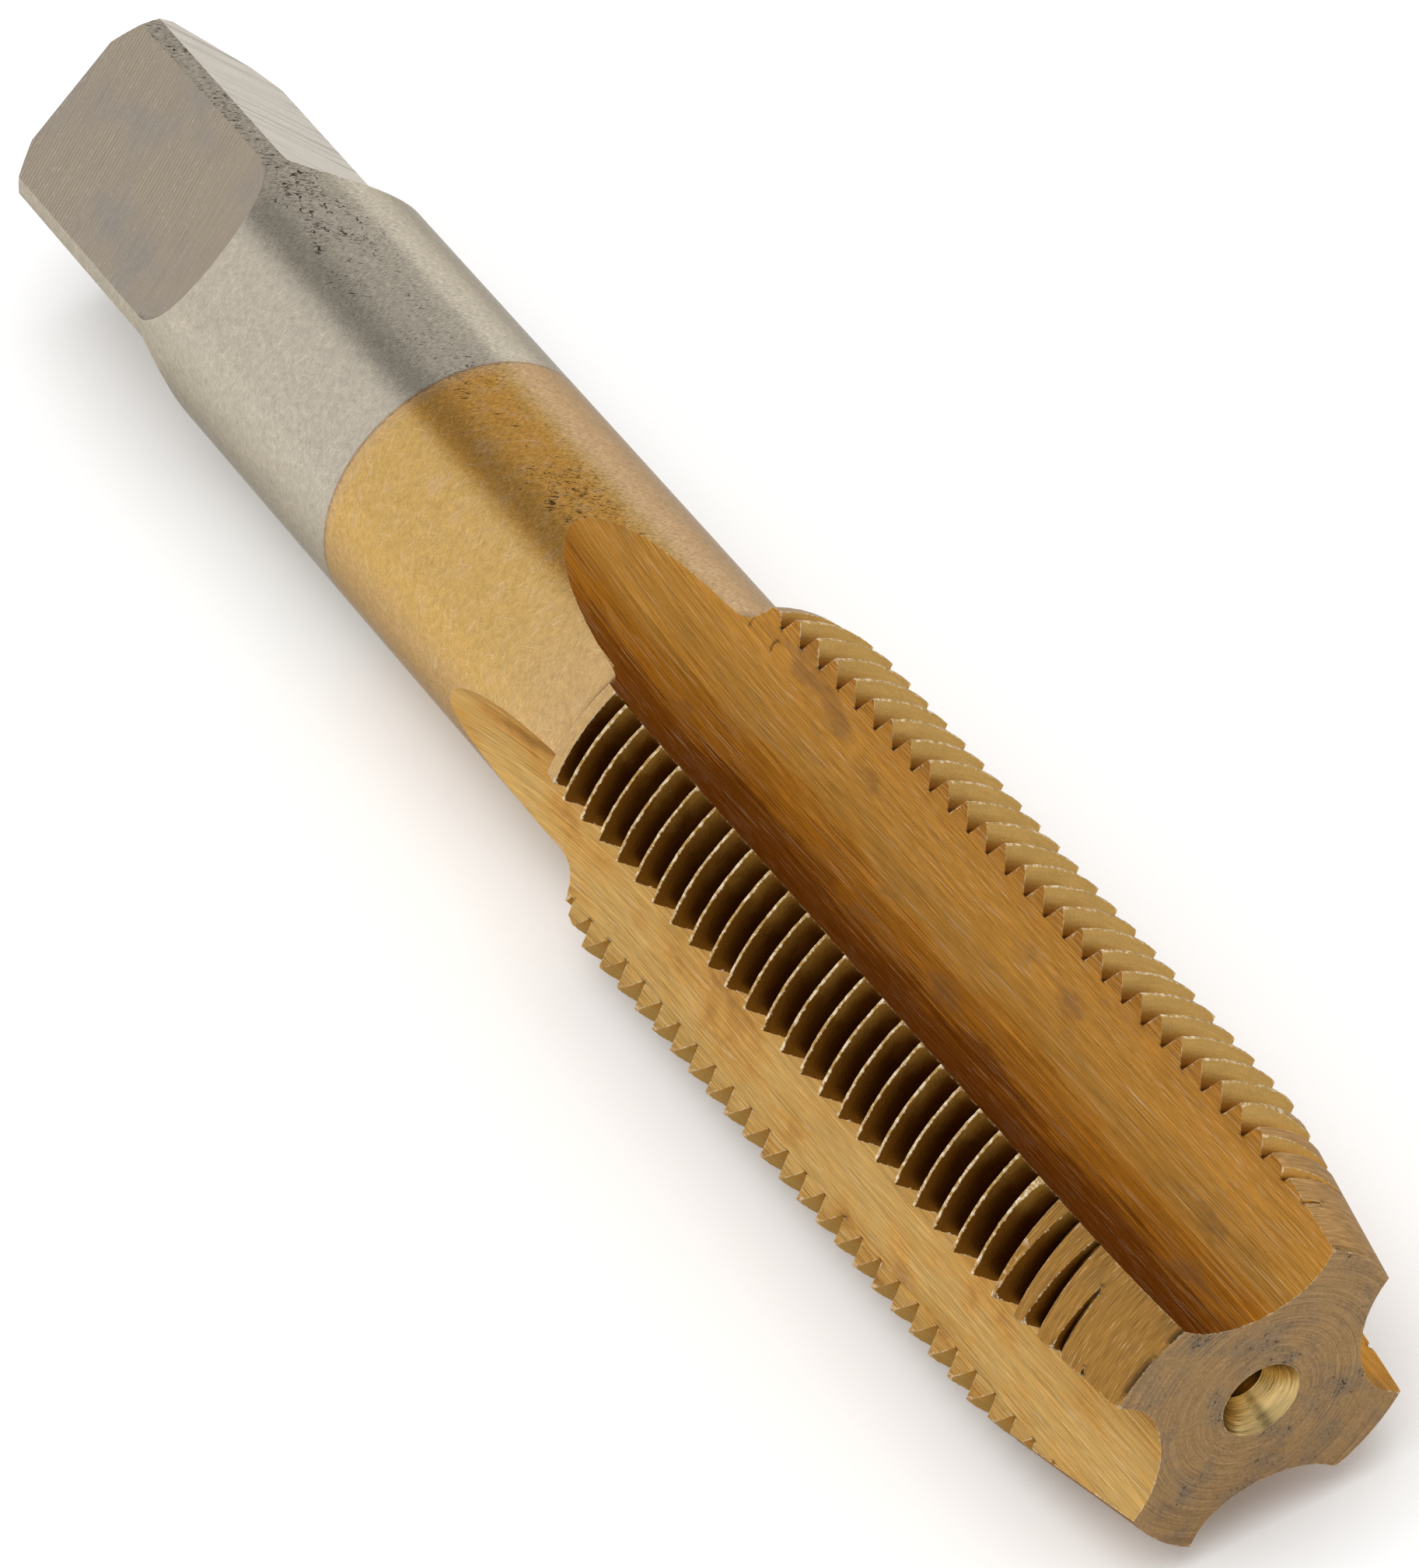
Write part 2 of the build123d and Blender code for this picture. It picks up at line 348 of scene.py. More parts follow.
def shankFinish():
    # ground shank: bare steel behind, gold in front of a ring with a thin brown rim, and a painted highlight
    # down one side of the bare steel
    made, tree, shader = newMetal("shankGround", shankLook["gloss"])
    at = axisPlace(tree)
    around, x, angle = at["unrolled"], at["x"], at["angle"]
    strokes = grain(tree, around, shankLook["strokes"], shankLook["strokeTurn"], 2.0)
    speckle = grain(tree, around, shankLook["speckle"], detail=3.0, roughness=0.65)
    mottle = grain(tree, around, shankLook["mottle"], shankLook["mottleTurn"], 2.0)
    clouds = grain(tree, around, shankLook["clouds"])
    start, fade = shankLook["coatingEnd"], shankLook["coatingFade"]
    ring = total(tree, x, between(tree, strokes, 0.3, 0.7, -fade, fade, False))
    coated = between(tree, ring, start - fade, start + fade)
    colour = coatingColour(tree, at, ring, coated, clouds)
    coarse = band(tree, angle, *shankLook["coarse"])
    bare = total(tree, 1.0, product(tree, coated, -1.0))
    # painted highlight: the bare steel is brightened in a band on one side
    highlightBand = product(tree, band(tree, angle, *shankLook["highlightBand"]), bare)
    scrubbed = product(tree, coarse, between(tree, strokes, 0.3, 0.7, -0.22, 0.16, False))
    colour = tint(tree, colour, total(tree, 1.0, product(tree, highlightBand, 0.16)), vary(tree, strokes, 0.16),
                  vary(tree, speckle, 0.12), vary(tree, mottle, 0.12), vary(tree, clouds, 0.05),
                  total(tree, 1.0, scrubbed))
    for turn, level in shankLook["hairTurns"]:
        hairs = grain(tree, around, shankLook["hairs"], math.radians(turn), 1.0)
        glint = between(tree, hairs, level, level + shankLook["hairFade"], 0.0, shankLook["hairGlint"])
        colour = mixColour(tree, glint, colour, finish["paleGold"])
    marks, corner = shankMarks(tree, around, x, angle, mottle)
    colour = mixColour(tree, marks, colour, finish["soot"])
    onShank, onShoulder, reach = shankLook["edgeWearAndHighlight"]
    wearAndGleam = between(tree, x, tapBody["shankEnd"], tapBody["threadStart"], onShank, onShoulder)
    colour = wornEdgeHighlight(tree, at, colour, finish["paleSteel"], wearAndGleam, reach)
    tree.links.new(colour, shader.inputs["Base Color"])
    rough = total(tree, between(tree, speckle, 0.3, 0.7, 0.22, 0.32, False), product(tree, corner, 0.12),
                  product(tree, coarse, 0.04))
    tree.links.new(rough, shader.inputs["Roughness"])
    raised = total(tree, strokes, product(tree, speckle, 0.8))
    addBump(tree, shader, doMath(tree, "SUBTRACT", raised, product(tree, marks, 2.5)), *shankLook["relief"])
    return made


fluteLook = {
    "gloss": (0.40, 0.52),
    "streaks": (0.0022, 0.000055, 0.000055),  # brushed along the flute
    "lines": (0.0048, 0.000036, 0.000036),
    "lineTurn": math.radians(1.5),
    "paleLines": (0.62, 0.72, 0.0, 0.40),
    "darkLines": (0.34, 0.26, 0.0, 0.35),
    "broad": (0.0090, 0.00022, 0.00022),
    "clouds": (0.0045, 0.0022, 0.0022),
    "stains": (0.56, 0.74, 0.0, 0.55),
    "specks": (0.00045, 0.00022, 0.00022),
    "speckLevels": (0.72, 0.75, 0.0, 0.8),
    "shaded": (-0.38, -0.16),  # painted shade by angle about the tap: from the dark third to the middle
    # painted light on the far side, and a painted highlight in a ridge band
    "light": (-0.02, 0.22),
    "ridgeHighlight": (-0.04, 0.06, 0.10, 0.20),
    # painted light and painted shade on the two sides of the flute's tip
    "tip": (-0.001, 0.006),
    "tipLight": (-0.14, 0.02),
    "tipDark": (-0.24, -0.34),
    "sideFlute": (-0.95, -0.85),
    "edgeWearAndHighlight": (0.08, 0.75, 0.85),  # at the tip, along the thread, and the reach of both
    "relief": (0.8, 0.00003),
}


def alongFlute(tree, at):
    # along, across and into the flute, following it where the grinding disc lifts out
    wide, tall = doMath(tree, "ABSOLUTE", at["y"]), doMath(tree, "ABSOLUTE", at["up"])
    upright = doMath(tree, "GREATER_THAN", tall, wide)
    across = total(tree, product(tree, at["y"], upright),
                   product(tree, at["up"], doMath(tree, "SUBTRACT", 1.0, upright)))
    lifted = doMath(tree, "MINIMUM", doMath(tree, "SUBTRACT", at["x"], flute["liftX"]), 0.0)
    drop = doMath(tree, "SUBTRACT", largest(tree, wide, tall), flute["discAxis"])
    depth = doMath(tree, "SQRT", total(tree, product(tree, lifted, lifted), product(tree, drop, drop)))
    return addNode(tree, "ShaderNodeCombineXYZ", {"X": at["x"], "Y": across, "Z": depth}).outputs[0]


def fluteColour(tree, at, broad, clouds):
    # painted shade makes the shaded third reddish brown, painted light makes the far side lighter, with a
    # painted highlight along a ridge; the near flute is gold
    place = total(tree, at["angle"], between(tree, broad, 0.3, 0.7, -0.10, 0.10, False),
                  between(tree, clouds, 0.3, 0.7, -0.10, 0.10, False))
    lit, light = between(tree, place, *fluteLook["shaded"]), between(tree, place, *fluteLook["light"])
    colour = mixColour(tree, lit, finish["fluteShade"], finish["flute"])
    colour = mixColour(tree, light, colour, finish["fluteLit"])
    atTip = between(tree, at["x"], *fluteLook["tip"], 0.8, 0.0)
    for side, shade in (("tipLight", "fluteLit"), ("tipDark", "fluteShade")):
        amount = product(tree, atTip, between(tree, at["angle"], *fluteLook[side]))
        colour = mixColour(tree, amount, colour, finish[shade])
    pale = mixColour(tree, between(tree, clouds, 0.4, 0.7, 0.0, 0.7), finish["gold"], finish["fluteLit"])
    sideFlute = between(tree, at["angle"], *fluteLook["sideFlute"], 1.0, 0.0)
    return mixColour(tree, sideFlute, colour, pale), band(tree, place, *fluteLook["ridgeHighlight"])


def fluteFinish():
    # brushed along the flute, with stains and a few black specks, painted shade and light across it and a
    # painted highlight along a ridge
    made, tree, shader = newMetal("fluteBrushed", sum(fluteLook["gloss"]) / 2)
    at = axisPlace(tree)
    ground = alongFlute(tree, at)
    streaks = grain(tree, ground, fluteLook["streaks"], roughness=0.65, detail=4.0)
    lines = grain(tree, ground, fluteLook["lines"], fluteLook["lineTurn"], 1.0)
    broad = grain(tree, ground, fluteLook["broad"])
    clouds = grain(tree, at["spot"], fluteLook["clouds"], detail=4.0)
    specks = grain(tree, at["spot"], fluteLook["specks"], detail=4.0, roughness=0.75)
    colour, ridgeHighlight = fluteColour(tree, at, broad, clouds)
    # the ridge band is brightened: a painted highlight
    colour = tint(tree, colour, vary(tree, streaks, 0.34), vary(tree, broad, 0.16),
                  total(tree, 1.0, product(tree, ridgeHighlight, 0.16)))
    colour = mixColour(tree, between(tree, lines, *fluteLook["paleLines"]), colour, finish["paleGold"])
    colour = mixColour(tree, between(tree, lines, *fluteLook["darkLines"]), colour, finish["soot"])
    colour = mixColour(tree, between(tree, clouds, *fluteLook["stains"]), colour, finish["fluteStain"])
    colour = mixColour(tree, between(tree, specks, *fluteLook["speckLevels"]), colour, finish["soot"])
    tip, thread, reach = fluteLook["edgeWearAndHighlight"]
    wearAndGleam = between(tree, at["x"], tapBody["shankEnd"], tapBody["threadStart"], tip, thread)
    tree.links.new(wornEdgeHighlight(tree, at, colour, finish["paleGold"], wearAndGleam, reach), shader.inputs["Base Color"])
    tree.links.new(between(tree, broad, 0.3, 0.7, *fluteLook["gloss"], False), shader.inputs["Roughness"])
    addBump(tree, shader, total(tree, streaks, product(tree, broad, 1.5)), *fluteLook["relief"])
    return made


flankLook = {
    "gloss": (0.30, 0.42),
    "around": (0.00011, 0.0011, 0.00011),  # fine marks round the thread
    "sparkle": (0.00011,) * 3,
    "clouds": (0.0020, 0.0014, 0.0011),
    "nearLand": (-1.25, -1.15, -0.42, -0.30),  # the land painted in shade, by angle about the tap
    "towardsHeel": (-0.80, -0.48),
    "shadeRadii": (0.0081, 0.0090),  # from the root out to the crest, where the painted shade warms
    # painted shade on the other lands, darker towards the root
    "rootShadeRadii": (0.0081, 0.0088),
    "edgeWearAndHighlight": (0.6, 0.88),
    "relief": (0.35, 0.00003),
}


def flankFinish(name):
    # thread flanks: painted shade in dark brown on the near land, grainy gold elsewhere with painted shade
    # darker towards the root
    made, tree, shader = newMetal(name, sum(flankLook["gloss"]) / 2)
    at = axisPlace(tree)
    around = grain(tree, at["unrolled"], flankLook["around"])
    sparkle = grain(tree, at["spot"], flankLook["sparkle"], roughness=0.7)
    clouds = grain(tree, at["unrolled"], flankLook["clouds"])
    # painted shade: the near land's flanks are turned dark brown
    near = band(tree, at["angle"], *flankLook["nearLand"])
    place = total(tree, at["angle"], between(tree, clouds, 0.3, 0.7, -0.08, 0.08))
    heel = product(tree, between(tree, place, *flankLook["towardsHeel"]),
                   between(tree, at["radius"], *flankLook["shadeRadii"], 0.35, 1.0))
    shadedLand = mixColour(tree, heel, finish["groove"], finish["grooveWarm"])
    # painted shade: darker towards the root
    outer = between(tree, at["radius"], *flankLook["rootShadeRadii"])
    cleanWithRootShade = mixColour(tree, outer, finish["toothRootShade"], finish["toothGold"])
    colour = mixColour(tree, near, cleanWithRootShade, shadedLand)
    colour = tint(tree, colour, vary(tree, around, 0.10), vary(tree, sparkle, 0.14))
    colour = wornEdgeHighlight(tree, at, colour, finish["paleGold"], *flankLook["edgeWearAndHighlight"])
    tree.links.new(colour, shader.inputs["Base Color"])
    tree.links.new(between(tree, clouds, 0.3, 0.7, *flankLook["gloss"], False), shader.inputs["Roughness"])
    addBump(tree, shader, sparkle, *flankLook["relief"])
    return made


crestLook = {"gloss": 0.25, "wearAndGleam": (0.00024,) * 3, "wearAndHighlight": (0.42, 0.66), "nicks": (0.66, 0.72),
             "relief": (0.8, 0.00004)}


def crestFinish():
    # crest flats worn bright with a painted highlight, and dark nicks
    made, tree, shader = newMetal("threadCrest", crestLook["gloss"])
    at = axisPlace(tree)
    wearAndGleam = grain(tree, at["spot"], crestLook["wearAndGleam"], detail=4.0, roughness=0.7)
    wearAndHighlight = between(tree, wearAndGleam, *crestLook["wearAndHighlight"])
    colour = mixColour(tree, wearAndHighlight, finish["toothGold"], finish["paleGold"])
    colour = mixColour(tree, between(tree, wearAndGleam, *crestLook["nicks"], 0.0, 0.7), colour, finish["soot"])
    tree.links.new(colour, shader.inputs["Base Color"])
    addBump(tree, shader, wearAndGleam, *crestLook["relief"])
    return made


leadLook = {
    "gloss": 0.40,
    "fine": (0.000055, 0.0009, 1),  # ground round the axis
    "broad": (0.00020, 0.0020, 1),
    "turn": math.radians(4),
    "clouds": (0.0014, 0.0017, 1),
    "farSide": (0.30, 0.60),
    "chipped": (0.00045, 0.00005),  # back from the nose
    "edgeWearAndHighlight": (0.4, 0.9),
    "relief": (0.6, 0.00003),
}


def leadFinish():
    # the ground lead behind the nose: streaked round the axis, dark chips along the nose
    made, tree, shader = newMetal("leadGround", leadLook["gloss"])
    at = axisPlace(tree)
    fine = grain(tree, at["unrolled"], leadLook["fine"], leadLook["turn"], 4.0, 0.65)
    broad = grain(tree, at["unrolled"], leadLook["broad"], leadLook["turn"])
    clouds = grain(tree, at["unrolled"], leadLook["clouds"], detail=4.0)
    colour = mixColour(tree, between(tree, clouds, 0.50, 0.85), finish["lead"], finish["leadBrown"])
    pink = between(tree, at["angle"], *leadLook["farSide"], 0.0, 0.35)
    colour = mixColour(tree, pink, colour, finish["blush"])
    colour = tint(tree, colour, vary(tree, fine, 0.45), vary(tree, broad, 0.22))
    colour = mixColour(tree, between(tree, fine, 0.60, 0.72, 0.0, 0.45), colour, finish["paleGold"])
    edge = between(tree, at["x"], *(tapBody["nose"] - back for back in leadLook["chipped"]))
    chips = product(tree, edge, between(tree, clouds, 0.42, 0.55))
    colour = mixColour(tree, product(tree, chips, 0.8), colour, finish["soot"])
    colour = wornEdgeHighlight(tree, at, colour, finish["paleGold"], *leadLook["edgeWearAndHighlight"])
    tree.links.new(colour, shader.inputs["Base Color"])
    addBump(tree, shader, total(tree, fine, broad), *leadLook["relief"])
    return made


def ringed(tree, along, angle, width, length):
    # turning marks: rings width apart, broken every length radians or so
    rings = addNode(tree, "ShaderNodeCombineXYZ", {"X": along, "Y": angle}).outputs[0]
    return grain(tree, rings, (width, length, 1))


noseLook = {
    "gloss": 0.42,
    "rings": (0.00009, 0.7),
    "fine": (0.00014,) * 3,
    "clouds": (0.0024,) * 3,
    "specks": (0.00024,) * 3,
    "edgeWearAndHighlight": (0.4, 0.9),
    "relief": (0.5, 0.00003),
}


def noseFinish():
    # turned face: rings about the axis, grey stains and specks
    made, tree, shader = newMetal("noseTurned", noseLook["gloss"])
    at = axisPlace(tree)
    rings = ringed(tree, at["radius"], at["angle"], *noseLook["rings"])
    fine = grain(tree, at["spot"], noseLook["fine"], roughness=0.7)
    clouds = grain(tree, at["spot"], noseLook["clouds"], detail=5.0, roughness=0.65)
    specks = grain(tree, at["spot"], noseLook["specks"], detail=4.0, roughness=0.75)
    colour = mixColour(tree, between(tree, clouds, 0.42, 0.76), finish["bronze"], finish["bronzeGrey"])
    colour = tint(tree, colour, vary(tree, rings, 0.32), vary(tree, fine, 0.24))
    dark = between(tree, total(tree, specks, between(tree, clouds, 0.4, 0.7, -0.05, 0.10)), 0.63, 0.70)
    colour = mixColour(tree, product(tree, dark, 0.75), colour, finish["soot"])
    colour = wornEdgeHighlight(tree, at, colour, finish["paleGold"], *noseLook["edgeWearAndHighlight"])
    tree.links.new(colour, shader.inputs["Base Color"])
    addBump(tree, shader, total(tree, rings, fine), *noseLook["relief"])
    return made


holeLook = {"gloss": 0.28, "rings": (0.00017, 1.7), "ringDepth": 0.42, "coatedFrom": (-0.001, 0.001),
            "relief": (0.6, 0.00005)}


def holeFinish():
    # centre holes: drilled rings, gold in the nose, bare in the square end
    made, tree, shader = newMetal("centreDrilled", holeLook["gloss"])
    at = axisPlace(tree)
    rings = ringed(tree, at["x"], at["angle"], *holeLook["rings"])
    coated = between(tree, at["x"], *holeLook["coatedFrom"])
    colour = mixColour(tree, coated, finish["steel"], finish["drilled"])
    tree.links.new(tint(tree, colour, vary(tree, rings, holeLook["ringDepth"])), shader.inputs["Base Color"])
    addBump(tree, shader, rings, *holeLook["relief"])
    return made


squareLook = {
    "gloss": 0.42,
    "lineStep": 0.00021,
    "lineSkew": 0.30,  # how far the milled lines lean along the tap for each step in Y
    "lineWander": 0.45,
    "lineDepth": 0.12,
    "linesEnd": 0.003,  # the lines fade over this length before the flats rise
    "clouds": (0.0048,) * 3,
    "wander": (0.0011,) * 3,
    "scored": (0.00007, 0.0016, 0.0016),
    "cuts": (0.00016, 0.02, 0.02),  # deep single marks across the brighter flat
    "cutDepth": -0.30,
    "flecks": (0.00009, 0.00034, 0.00034),
    "fine": (0.00013,) * 3,
    "brighterFlat": (0.10, 0.14, 1.6, 1.8),  # painted light on the flat that faces the light, by angle about the tap
    "endFace": (-0.04779, -0.04776),
    "edgeWearAndHighlight": (0.3, 0.95),
    "relief": (0.5, 0.00002),
}


def squareFinish():
    # milled flats: fine even lines across them, light flecks, smoother where they run out; one flat painted
    # lighter
    made, tree, shader = newMetal("squareMilled", squareLook["gloss"])
    at = axisPlace(tree)
    step, rise = squareLook["lineStep"], square["flatStop"]
    clouds = grain(tree, at["spot"], squareLook["clouds"], detail=2.0)
    wander = grain(tree, at["spot"], squareLook["wander"], detail=3.0)
    skewed = total(tree, at["x"], product(tree, at["y"], squareLook["lineSkew"]),
                   product(tree, wander, squareLook["lineWander"] * step))
    wave = doMath(tree, "SINE", product(tree, skewed, 2 * math.pi / step))
    across = addNode(tree, "ShaderNodeCombineXYZ", {"X": skewed, "Y": at["y"], "Z": at["radius"]}).outputs[0]
    scored = grain(tree, across, squareLook["scored"])
    cuts = grain(tree, across, squareLook["cuts"], detail=1.0)
    flecks = grain(tree, across, squareLook["flecks"], roughness=0.7)
    fine = grain(tree, at["spot"], squareLook["fine"], roughness=0.7)
    strength = product(tree, between(tree, clouds, 0.40, 0.60, 1.0, 0.25),
                       between(tree, at["x"], rise - squareLook["linesEnd"], rise, 1.0, 0.0))
    lines = product(tree, wave, strength, squareLook["lineDepth"])
    colour = mixColour(tree, between(tree, clouds, 0.45, 0.70), finish["milled"], finish["milledGrey"])
    # painted light: the flat facing the light gets a brighter copy of the milled colour
    litFlat = product(tree, band(tree, at["angle"], *squareLook["brighterFlat"]),
                    between(tree, at["x"], *squareLook["endFace"]))
    colour = mixColour(tree, litFlat, colour, finish["milledLit"])
    cut = product(tree, litFlat, between(tree, cuts, 0.58, 0.66, 0.0, squareLook["cutDepth"]))
    colour = tint(tree, colour, total(tree, 1.0, lines), vary(tree, scored, 0.12), vary(tree, fine, 0.09),
                  total(tree, 1.0, cut))
    shown = total(tree, 0.12, product(tree, strength, 0.34))
    light = product(tree, between(tree, flecks, 0.60, 0.72), shown)
    colour = mixColour(tree, light, colour, finish["paleSteel"])
    colour = wornEdgeHighlight(tree, at, colour, finish["paleSteel"], *squareLook["edgeWearAndHighlight"])
    tree.links.new(colour, shader.inputs["Base Color"])
    addBump(tree, shader, total(tree, product(tree, lines, 4.0), scored), *squareLook["relief"])
    return made


# A flute's section, measured from its cutting face: flat face, hollow foot, round floor, leaning heel wall.
flute = {
    "faceEnd": 0.00645,
    "footHollow": 0.0030,
    "floor": (0.00483, math.radians(22.4)),  # radius, angle back from the face
    "heelFoot": (0.00573, math.radians(50.7)),
    "heel": (0.00909, math.radians(58.3)),
    "discAxis": 0.05433,  # the grinding disc's axis above the tap's
    "liftX": 0.00835,
}
lead = {
    "slope": math.atan(0.00142 / 0.0072),
    "shift": 0.000871,
    "shiftAngle": math.radians(-27.85),
    "firstQuarter": math.radians(10),  # each quarter starts in a flute and holds one land
}
square = {
    "turn": math.radians(-38.1),
    "flatHeight": 0.005275,
    "flatStop": -0.0353,
    "cutterRadius": 0.00462,
    "rimRadius": 0.00506,  # the round end of each flat, as it shows on the shank
    "rimReach": 0.00345,
    "rimFade": 0.0016,
    "rimZone": (-0.003, 0.008),  # either side of where the flats start to rise
    "rimLean": 0.45,
    "leanFrom": 0.7,  # share of the rise above which the gloss turns up
    "breakEnd": -0.0469,
}
sorting = {
    "holeRadius": 0.00186,
    "holesFrom": 0.0425,  # along the tap, either way
    "endFacing": 0.999,
    "flatLean": 0.02,  # along the tap, above which a facet isn't the round shank
    "roundFacing": 0.985,  # outwards, as the next two
    "fluteFacing": 0.8,
    "landFacing": 0.45,
    "squareRadius": 0.00675,
    "floorRadius": 0.0079,
    "shoulderRadius": 0.0069,
    "flankLean": 0.6,
    "leadLean": 0.12,
    "floorLean": (-0.2, 0.1),
    "shoulderLean": -0.1,
}
surfaces = ["shank", "flute", "noseFlank", "backFlank", "crest", "lead", "nose", "hole", "square", "root"]


def surfaceOf(face):
    # which ground surface a facet belongs to, from its place and lean
    middle = face.calc_center_median()
    up = middle.z - axisHeight
    radius = math.hypot(middle.y, up)
    outward = (face.normal.y * middle.y + face.normal.z * up) / max(radius, 1e-9)
    along = face.normal.x
    if radius < sorting["holeRadius"] and abs(middle.x) > sorting["holesFrom"]:
        return "hole"
    if abs(along) > sorting["endFacing"]:
        return "nose" if middle.x > 0 else "square"
    leans = along > sorting["flatLean"]
    if middle.x < tapBody["squareEnd"]:
        isFlat = leans or outward < sorting["roundFacing"] or radius < sorting["squareRadius"]
        return "square" if isFlat else "shank"
    if middle.x < tapBody["flutesStart"]:
        return "shank"
    if middle.x < tapBody["shankEnd"]:
        return "flute" if leans or outward < sorting["fluteFacing"] else "shank"
    onThread = middle.x > tapBody["threadStart"]
    level = sorting["floorLean"][0] < along < sorting["floorLean"][1]
    onFloor = radius < sorting["floorRadius"] and level and onThread
    if outward < sorting["landFacing"] or onFloor:
        return "flute"
    if along > sorting["flankLean"]:
        return "noseFlank"
    if along < -sorting["flankLean"] and onThread:
        return "backFlank"
    if not onThread:
        inFlute = radius < sorting["shoulderRadius"] and along > sorting["shoulderLean"]
        return "flute" if inFlute else "shank"
    if middle.x > tapBody["leadStart"] and along > sorting["leadLean"]:
        return "lead"
    return "crest" if radius > tapBody["rootTop"] else "root"


def polar(place):
    return Vector((place[0] * math.cos(place[1]), -place[0] * math.sin(place[1])))


def circleThrough(first, second, third):
    # centre of the circle through three points of a section
    one, two = second - first, third - first
    shift = Vector((two.y * one.length_squared - one.y * two.length_squared,
                    one.x * two.length_squared - two.x * one.length_squared))
    return first + shift / (2 * one.cross(two))


heelFoot = polar(flute["heelFoot"])
floorCentre = circleThrough(Vector((flute["faceEnd"], 0)), polar(flute["floor"]), heelFoot)
floorRadius = (floorCentre - heelFoot).length
footDrop = floorCentre.y + flute["footHollow"]
footReach = math.sqrt((floorRadius - flute["footHollow"]) ** 2 - footDrop ** 2)
footCentre = Vector((floorCentre.x + footReach, -flute["footHollow"]))
towards = (floorCentre - heelFoot).normalized()
heelWall = polar(flute["heel"]) - heelFoot
heelCentre = heelFoot + towards * (heelWall.length_squared / (2 * heelWall.dot(towards)))
heelSide = 1 if heelWall.dot(towards) > 0 else -1


def sectionNormal(section):
    if section.x > footCentre.x:
        return Vector((0, -1))
    if (footCentre - floorCentre).cross(section - floorCentre) < 0:
        return (footCentre - section).normalized()
    if math.atan2(-section.y, section.x) < flute["heelFoot"][1]:
        return (floorCentre - section).normalized()
    return (heelCentre - section).normalized() * heelSide


def fluteNormal(spot):
    # which flute, then the spot in its section, lifted out along the disc where the flute ends
    up = spot.z - axisHeight
    quarter = round(math.atan2(spot.y, up) / (math.pi / 2)) * math.pi / 2
    rise = up * math.cos(quarter) + spot.y * math.sin(quarter)
    side = spot.y * math.cos(quarter) - up * math.sin(quarter)
    lean = Vector((0.0, 1.0))
    if spot.x < flute["liftX"]:
        toDisc = Vector((flute["liftX"] - spot.x, flute["discAxis"] - rise))
        rise = flute["discAxis"] - toDisc.length
        lean = toDisc.normalized()
    cos, sin = math.cos(tapBody["edgeAngle"]), math.sin(tapBody["edgeAngle"])
    flat = sectionNormal(Vector((rise * cos + side * sin, side * cos - rise * sin)))
    inRise, inSide = flat.x * cos - flat.y * sin, flat.x * sin + flat.y * cos
    along, rise = lean.x * inRise, lean.y * inRise
    return Vector((along, inSide * math.cos(quarter) + rise * math.sin(quarter),
                   rise * math.cos(quarter) - inSide * math.sin(quarter)))


def leadNormal(spot):
    # each land's lead is a cone about an axis of its own, which relieves it behind the edge
    up = spot.z - axisHeight
    land = math.floor((math.atan2(spot.y, up) - lead["firstQuarter"]) / (math.pi / 2))
    away = lead["shiftAngle"] + land * math.pi / 2
    side, rise = lead["shift"] * math.sin(away), lead["shift"] * math.cos(away)
    fromAxis = Vector((spot.y - side, up - rise)).normalized() * math.cos(lead["slope"])
    return Vector((math.sin(lead["slope"]), fromAxis.x, fromAxis.y))


def onSquare(spot):
    # the nearest flat's direction, the spot's place across and above it, and the shank's height there
    up = spot.z - axisHeight
    quarter = math.pi / 2
    angle = square["turn"] + round((math.atan2(spot.y, up) - square["turn"]) / quarter) * quarter
    across = spot.y * math.cos(angle) - up * math.sin(angle)
    above = spot.y * math.sin(angle) + up * math.cos(angle) - square["flatHeight"]
    shankAbove = math.sqrt(max(0.0, tapBody["shankRadius"] ** 2 - across * across)) - square["flatHeight"]
    return angle, across, above, shankAbove


def squareNormal(spot):
    # flat, turned up only close to the rim where the cutter ran out
    angle, across, above, shankAbove = onSquare(spot)
    past = above / max(shankAbove, 1e-6) - square["leanFrom"]
    nearRim = min(1.0, max(0.0, past) / (1 - square["leanFrom"]))
    lean = square["rimLean"] * nearRim * nearRim
    flat = math.sqrt(1 - lean * lean)
    return Vector((-lean, flat * math.sin(angle), flat * math.cos(angle)))


def nearRims(x):
    return square["rimZone"][0] < x - square["flatStop"] < square["rimZone"][1]


def roundRims(shape):
    # each flat ends in a rounder arc than its cutter's run-out, so its rim is eased back along the shank
    radius, rim = square["cutterRadius"], square["rimRadius"]
    kind = surfaces.index("square")
    flats = [face for face in shape.faces
             if face.material_index == kind and nearRims(face.calc_center_median().x)]
    chosen = set(flats)
    # slivers are evened out first, because they would turn over
    inside = [edge for edge in shape.edges if edge.smooth and not edge.is_boundary
              and not chosen.isdisjoint(edge.link_faces)
              and all(face.material_index == kind for face in edge.link_faces)]
    bmesh.ops.beautify_fill(shape, faces=flats, edges=inside, method="AREA")
    for vert in shape.verts:
        across, shankAbove = onSquare(vert.co)[1::2]
        if not nearRims(vert.co.x) or shankAbove <= 0:
            continue
        now = math.sqrt(2 * radius * shankAbove - shankAbove ** 2)
        wanted = square["rimReach"] - rim + math.sqrt(rim * rim - across * across)
        away = abs(vert.co.x - square["flatStop"] - now) / square["rimFade"]
        if now > wanted and away < 1:
            vert.co.x -= (now - wanted) * (1 - away * away * (3 - 2 * away))


def flankNormal(kind, outward, radius):
    facing = 1 if kind == "noseFlank" else -1
    climb = facing * tapBody["pitch"] / (2 * math.pi * radius)
    around = Vector((0, -outward.z, outward.y))
    return Vector((facing, 0, 0)) - climb * around + math.tan(tapBody["flankAngle"]) * outward


